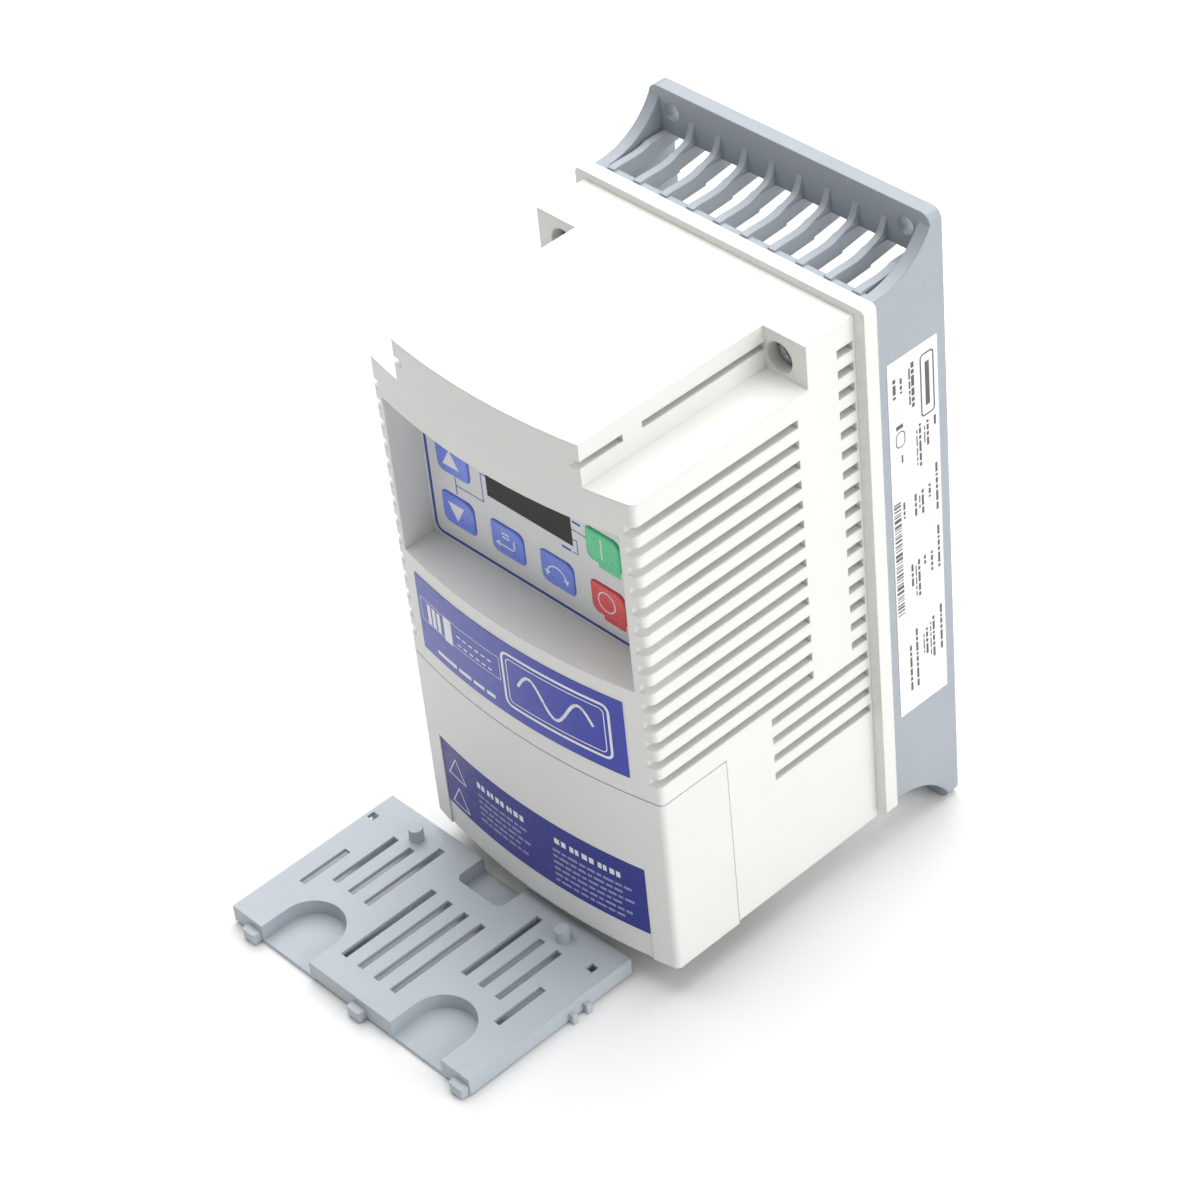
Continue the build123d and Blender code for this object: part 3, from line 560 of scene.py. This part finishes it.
# ---- display window ---------------------------------------------------------------------------
# A smoked acrylic window with a hard-coated face, in front of the dark digit module. A narrow
# moulded lip frames it behind the film.
dress(finish("smoked_acrylic", (0.036, 0.036, 0.037), (0.03, 0.03, 0.031), rough=(0.3, 0.36), grain=3000.0,
             depth=0.002, cloud=40.0, specular=0.09), "display_window")

# ---- keys -------------------------------------------------------------------------------------
# Six embossed domes in the film over dome switches: blue arrows, mode and direction, green start
# and red stop. Each has two tight and two wide corners and a white printed symbol.
KEY_COLOURS = {
    "key_blue": ((0.175, 0.265, 0.86), (0.14, 0.22, 0.78)),
    "key_green": ((0.075, 0.65, 0.28), (0.062, 0.59, 0.25)),
    "key_red": ((0.82, 0.075, 0.085), (0.75, 0.06, 0.068)),
}
KEY_FINISH = {slot: finish(slot + "_emboss", light, dark, rough=(0.26, 0.36), grain=3000.0, depth=0.004,
                           cloud=120.0, coat=0.15) for slot, (light, dark) in KEY_COLOURS.items()}
KEYS = [("key_up", "key_blue"), ("key_down", "key_blue"), ("key_mode", "key_blue"),
        ("key_direction", "key_blue"), ("key_start", "key_green"), ("key_stop", "key_red")]
CORNER_X, CORNER_Z = 5.85 * MM, 4.85 * MM  # a point farther out than both is a corner of a cap
WIDE_CORNER, TIGHT_CORNER = 3.1 * MM, 1.1 * MM
FIRST_RISE = 0.34 * MM
SHOULDER = ((0.14, 0.16), (0.2, 0.1), (0.3, 0.06), (0.5, 0.02))  # mm inward and outward, step by step


def key_dome(node):
    """A key cap over its CAD box, with two tight and two wide corners and a rounded shoulder."""
    low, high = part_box(node)
    cap = patch((low.x, high.x), (low.z, high.z), high.y)
    middle = (low + high) / 2
    for wide, offset in ((True, WIDE_CORNER), (False, TIGHT_CORNER)):
        for vertex in cap.data.vertices:
            away = vertex.co - middle
            corner = abs(away.x) > CORNER_X and abs(away.z) > CORNER_Z
            vertex.select = corner and (away.x * away.z > 0) == wide
        for edge in cap.data.edges:
            edge.select = False
        for face in cap.data.polygons:
            face.select = False
        bpy.ops.object.mode_set(mode="EDIT")
        bpy.ops.mesh.select_mode(type="VERT")
        bpy.ops.mesh.bevel(offset=offset, segments=7, affect="VERTICES")
        bpy.ops.object.mode_set(mode="OBJECT")
    bpy.ops.object.mode_set(mode="EDIT")
    bpy.ops.mesh.select_mode(type="FACE")
    bpy.ops.mesh.select_all(action="SELECT")
    drawn_out(low.y - high.y + FIRST_RISE)
    for inward, outward in SHOULDER:
        bpy.ops.mesh.inset(thickness=inward * MM)
        bpy.ops.transform.translate(value=(0.0, -outward * MM, 0.0))
    bpy.ops.mesh.select_all(action="SELECT")
    bpy.ops.mesh.normals_make_consistent(inside=False)
    bpy.ops.object.mode_set(mode="OBJECT")
    bpy.ops.object.shade_smooth_by_angle(angle=math.radians(50))
    return cap


def flat_shape(sides, radius, x, z, depth, turn=0.0):
    """A filled regular shape that faces the front. With three sides it points up before its turn."""
    alone()
    bpy.ops.mesh.primitive_circle_add(vertices=sides, radius=radius * MM, fill_type="NGON",
                                      location=(x, depth, z), rotation=TO_FRONT)
    bpy.context.active_object.rotation_euler.rotate_axis("Z", turn)
    return settle("flat_shape")


RING_SIDES = 48


def key_symbol(node, centre, depth):
    """The white symbol of one key, as flat pieces placed in mm from the key's centre."""
    x, z = centre

    def stroke(x0, z0, x1, z1):
        return patch((x + x0 * MM, x + x1 * MM), (z + z0 * MM, z + z1 * MM), depth)

    def head(x0, z0, size, turn):
        return flat_shape(3, size, x + x0 * MM, z + z0 * MM, depth, turn)

    if node == "key_up":
        return [head(-0.4, -0.4, 3.5, 0.0)]
    if node == "key_down":
        return [head(-0.4, 0.6, 3.5, math.pi)]
    if node == "key_mode":
        return [stroke(-3.0, -1.75, 2.9, -1.3), stroke(2.45, -1.75, 2.9, 1.6),
                head(-3.2, -1.52, 1.15, math.pi / 2), stroke(-1.6, 1.0, 1.0, 1.5),
                stroke(-1.6, 2.2, 1.0, 2.7)]
    if node == "key_direction":
        arc = outlined(flat_shape(RING_SIDES, 3.7, x, z - 1.8 * MM, depth), 0.42)
        bpy.ops.object.mode_set(mode="EDIT")
        bpy.ops.mesh.select_all(action="SELECT")
        bpy.ops.mesh.bisect(plane_co=(x, depth, z - 1.0 * MM), plane_no=(0.0, 0.0, 1.0), clear_inner=True)
        bpy.ops.object.mode_set(mode="OBJECT")
        return [arc, head(-3.5, -1.3, 1.15, math.pi - 0.15), head(3.5, -1.3, 1.15, math.pi + 0.15)]
    if node == "key_start":
        return [stroke(-0.55, -3.0, -0.1, 3.2)]
    return [outlined(flat_shape(RING_SIDES, 3.1, x - 0.3 * MM, z + 0.1 * MM, depth), 0.34)]


for node, slot in KEYS:
    low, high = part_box(node)
    dome = own(key_dome(node), KEY_FINISH[slot], node)
    dome.name = dome.data.name = node + "_dome"
    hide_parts(node)
    centre = ((low.x + high.x) / 2, (low.z + high.z) / 2)
    inked(key_symbol(node, centre, low.y - PRINT_T), node + "_symbol", ink_white, node)

# The start and stop keys carry a small printed tab of their own colour on the film below them.
for node, slot in KEYS[4:]:
    low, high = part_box(node)
    tab = patch((low.x + 3.6 * MM, high.x - 0.5 * MM), (low.z - 1.7 * MM, low.z + 0.6 * MM), FILM_FACE)
    inked([rounded(tab, 0.4, segments=3)], node + "_tab", KEY_FINISH[slot], "drive")

# ---- terminal cover and its label -------------------------------------------------------------
# A wrap-around cover moulded in the same white ABS as the housing. It clips over the wiring bay,
# and a blue label sits in a shallow recess of its front, with generic bars and two open triangles.
dress(finish("moulded_white_cover", (0.79, 0.79, 0.765), (0.768, 0.768, 0.742), rough=(0.4, 0.54),
             grain=2600.0, depth=0.02, cloud=40.0, soft_edge=0.6), "terminal_cover")
care_low, care_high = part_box("caution_label")
dress(faded_film("label_film_deep_blue", (0.085, 0.075, 0.30), (0.03, 0.042, 0.27), care_low.x,
                 care_high.x), "caution_label")
ink_pale = finish("ink_pale_blue", (0.36, 0.37, 0.56), (0.28, 0.29, 0.48), rough=(0.4, 0.5), grain=4000.0,
                  depth=0.003, cloud=500.0, fleck=0.7)

# Two open triangles at the left, and over each column a heading in which every bar is split in two.
heads = [outlined(flat_shape(3, 4.8, care_low.x + 6.4 * MM, care_low.z + z * MM, FRONT), 0.32)
         for z in (14.2, 3.9)]
HEADING_Z, HEADING_HEIGHT = 16.0, 1.9
for x, widths in ((16.2, (4.2, 3.4, 4.4, 2.6, 5.0)), (47.0, (5.2, 4.0, 5.2, 3.6, 4.4))):
    for width in widths:
        heads.append(label_bar(x, HEADING_Z, width * 0.34, HEADING_HEIGHT, care_low))
        heads.append(label_bar(x + width * 0.48, HEADING_Z, width * 0.3, HEADING_HEIGHT, care_low))
        x += width + 0.2
bent_print(heads, "caution_headings", "caution_label", ink_white, "cover")

# Two columns of small type: where each starts, and how long each of its lines is, in mm.
COLUMNS = ((16.2, (20.0, 18.4, 21.0, 16.8, 19.6)), (46.0, (26.4, 24.2, 27.0, 22.8, 26.0, 24.0)))
TOP_LINE_Z, LINE_PITCH, LINE_HEIGHT = 12.9, 2.15, 0.8
LABEL_WORDS, LABEL_SPACE = (2.6, 1.5, 3.4, 2.1), 0.6
lines = []
for column, widths in COLUMNS:
    for row, remaining in enumerate(widths):
        x, word = column, row
        while remaining > 1.0:
            length = min(LABEL_WORDS[word % len(LABEL_WORDS)], remaining)
            lines.append(label_bar(x, TOP_LINE_Z - row * LINE_PITCH, length, LINE_HEIGHT, care_low))
            x += length + LABEL_SPACE
            remaining = remaining - length - LABEL_SPACE
            word += 1
bent_print(lines, "caution_lines", "caution_label", ink_pale, "cover")

# ---- wiring terminals -------------------------------------------------------------------------
# Black power terminals and green control terminals stand in the wiring bay. Each pole has a steel
# cage clamp behind its wire entry, and its screw closes it from the front.
dress(finish("terminal_black", (0.045, 0.045, 0.05), (0.03, 0.03, 0.034), rough=(0.42, 0.58), grain=2400.0,
             depth=0.02, soft_edge=0.3), "power_terminal_block")
dress(finish("terminal_green", (0.03, 0.27, 0.13), (0.022, 0.22, 0.105), rough=(0.38, 0.52), grain=2400.0,
             depth=0.02, soft_edge=0.3), "control_terminal_block")
dress(zinc, "fin_block_screws", "power_terminal_screws", "control_terminal_screws", "module_screws",
      "control_board_screws", "display_board_screws")


def cage(width, y, z, wall):
    """A steel sleeve, open to the front and back, over its spans in y and z."""
    alone()
    bpy.ops.mesh.primitive_cube_add(size=1, location=(0.0, sum(y) / 2, sum(z) / 2))
    sleeve = bpy.context.active_object
    sleeve.scale = (width, y[1] - y[0], z[1] - z[0])
    settle("cage")
    for face in sleeve.data.polygons:
        face.select = abs(face.normal.y) > 0.9
    bpy.ops.object.mode_set(mode="EDIT")
    bpy.ops.mesh.select_mode(type="FACE")
    bpy.ops.mesh.delete(type="FACE")
    bpy.ops.mesh.select_all(action="SELECT")
    bpy.ops.mesh.subdivide(number_cuts=1)
    bpy.ops.object.mode_set(mode="OBJECT")
    applied(sleeve, "SOLIDIFY", thickness=wall, offset=-1.0)
    applied(sleeve, "BEVEL", width=wall * 0.3, segments=2, limit_method="ANGLE", angle_limit=SHARP)
    return sleeve


def cage_row(name, node, poles, pitch, width, back, up, wall):
    """One clamp per pole along a block. Its spans back and up are from the block's front and foot."""
    low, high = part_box(node)
    first = cage(width * MM, [low.y + end * MM for end in back], [low.z + end * MM for end in up],
                 wall * MM)
    middle = (low.x + high.x) / 2
    row = [copied(first, (middle + (pole - (poles - 1) / 2) * pitch * MM, 0.0, 0.0), "cage")
           for pole in range(poles)]
    bpy.data.objects.remove(first)
    return own(joined(row, name), zinc, "drive")


cage_row("power_cage_clamps", "power_terminal_block", poles=7, pitch=9.2, width=6.2, back=(4.0, 11.6),
         up=(0.4, 5.4), wall=0.5)
cage_row("control_cage_clamps", "control_terminal_block", poles=13, pitch=5.3, width=3.2, back=(2.6, 7.6),
         up=(0.3, 3.3), wall=0.3)

# ---- plug-in memory ---------------------------------------------------------------------------
# A small black plug in its socket between the two terminal blocks, moulded in glass-filled nylon
# round a memory chip and its contacts. It is pulled by its flange.
dress(finish("plug_black", (0.05, 0.05, 0.055), (0.035, 0.035, 0.04), rough=(0.36, 0.5), grain=2600.0,
             depth=0.015, soft_edge=0.3), "memory_module", "memory_socket")

# ---- circuit boards and their parts -----------------------------------------------------------
# Three green glass-fibre boards: power, control and display. The first two stand on brass posts.
# The power module is screwed to the fin block over a silicone pad, and the capacitors are sleeved.
dress(finish("solder_mask_green", (0.02, 0.20, 0.085), (0.012, 0.13, 0.055), rough=(0.25, 0.4),
             grain=900.0, depth=0.01, cloud=260.0, fleck=0.5, coat=0.2),
      "power_board", "control_board", "display_board")
dress(finish("turned_brass", (0.66, 0.48, 0.20), (0.55, 0.39, 0.15), rough=(0.22, 0.34), grain=1500.0,
             depth=0.01, cloud=300.0, metal=1.0), "power_board_posts", "control_board_posts")
dress(finish("epoxy_black", (0.035, 0.035, 0.04), (0.022, 0.022, 0.026), rough=(0.4, 0.6), grain=2200.0,
             depth=0.02, cloud=120.0), "display_module", "tact_switches", "display_cable_header",
      "board_connector", "relay", "processor_chip", "transformer")
dress(finish("module_case_grey", (0.07, 0.07, 0.08), (0.05, 0.05, 0.058), rough=(0.42, 0.6), grain=1800.0,
             depth=0.02, cloud=120.0), "power_module")
dress(finish("silicone_pad", (0.45, 0.46, 0.48), (0.38, 0.39, 0.41), rough=(0.7, 0.85), grain=1400.0,
             depth=0.03, cloud=200.0), "thermal_pad")
dress(finish("can_sleeve", (0.05, 0.07, 0.20), (0.035, 0.05, 0.15), rough=(0.24, 0.36), grain=1800.0,
             depth=0.01, cloud=80.0, coat=0.2), "bus_capacitors")
dress(finish("coated_ferrite", (0.04, 0.22, 0.13), (0.028, 0.16, 0.09), rough=(0.45, 0.62), grain=1200.0,
             depth=0.03, cloud=160.0), "filter_choke")
dress(finish("fuse_ceramic", (0.80, 0.78, 0.72), (0.74, 0.72, 0.65), rough=(0.35, 0.5), grain=1800.0,
             depth=0.01), "fuse")

# ---- conduit plate ----------------------------------------------------------------------------
# The loose slotted plate that closes the bottom of the wiring bay. It is moulded in blue-grey
# glass-filled plastic with a satin skin, and lies on the floor in front of the drive.
dress(finish("moulded_blue_grey", (0.47, 0.515, 0.56), (0.445, 0.49, 0.53), rough=(0.4, 0.55),
             grain=1900.0, depth=0.035, cloud=50.0, soft_edge=0.35), "conduit_plate")

# ---- floor, light and camera ------------------------------------------------------------------
# A plain pale floor. A large softbox hangs high up, behind the drive and to its left, a smaller one
# stands to its right, and the surround is even white. The camera has a long lens and looks down on
# the drive from the front and the right.
FLOOR_Z = cad_low.z
AIM = (0.0, -0.05, 0.0)
alone()
bpy.ops.mesh.primitive_plane_add(size=14.0, location=(0.0, 0.0, FLOOR_Z))
floor = settle("floor")
floor.data.materials.append(finish("studio_floor", (0.9, 0.9, 0.9), (0.885, 0.885, 0.885), rough=(0.6, 0.7),
                                   grain=40.0, depth=0.0, cloud=2.0, specular=0.2))
floor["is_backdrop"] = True


def softbox(name, place, size, power):
    """A square area light that faces the middle of the scene."""
    lamp = bpy.data.lights.new(name, "AREA")
    lamp.shape = "SQUARE"
    lamp.size = size
    lamp.energy = power
    holder = bpy.data.objects.new(name, lamp)
    holder.location = place
    holder.rotation_euler = (Vector(AIM) - Vector(place)).to_track_quat("-Z", "Y").to_euler()
    bpy.context.scene.collection.objects.link(holder)


softbox("key_softbox", (-0.36, 0.38, 1.3), size=2.0, power=34.0)
softbox("side_softbox", (1.35, 0.35, 0.6), size=1.3, power=13.0)

world = bpy.data.worlds.new("studio_surround")
world.use_nodes = True
surround = world.node_tree.nodes["Background"]
surround.inputs["Color"].default_value = (1.0, 1.0, 1.0, 1.0)
surround.inputs["Strength"].default_value = 0.37
bpy.context.scene.world = world
bpy.context.scene.view_settings.view_transform = "Standard"

camera = bpy.data.cameras.new("camera")
camera.lens = 109.09
camera.sensor_width = 36.0
camera.clip_end = 50.0
eye = bpy.data.objects.new("camera", camera)
CAMERA_PLACE = (0.543227, -0.530955, 0.584071)
ahead = Vector((-0.59118, 0.49239, -0.63880))
right = Vector((0.68970, 0.71922, -0.08390))
up = Vector((-0.41813, 0.49018, 0.76479))
turned = Matrix((right, up, -ahead)).transposed().to_4x4()
eye.matrix_world = Matrix.Translation(CAMERA_PLACE) @ turned
bpy.context.scene.collection.objects.link(eye)
bpy.context.scene.camera = eye

low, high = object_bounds()
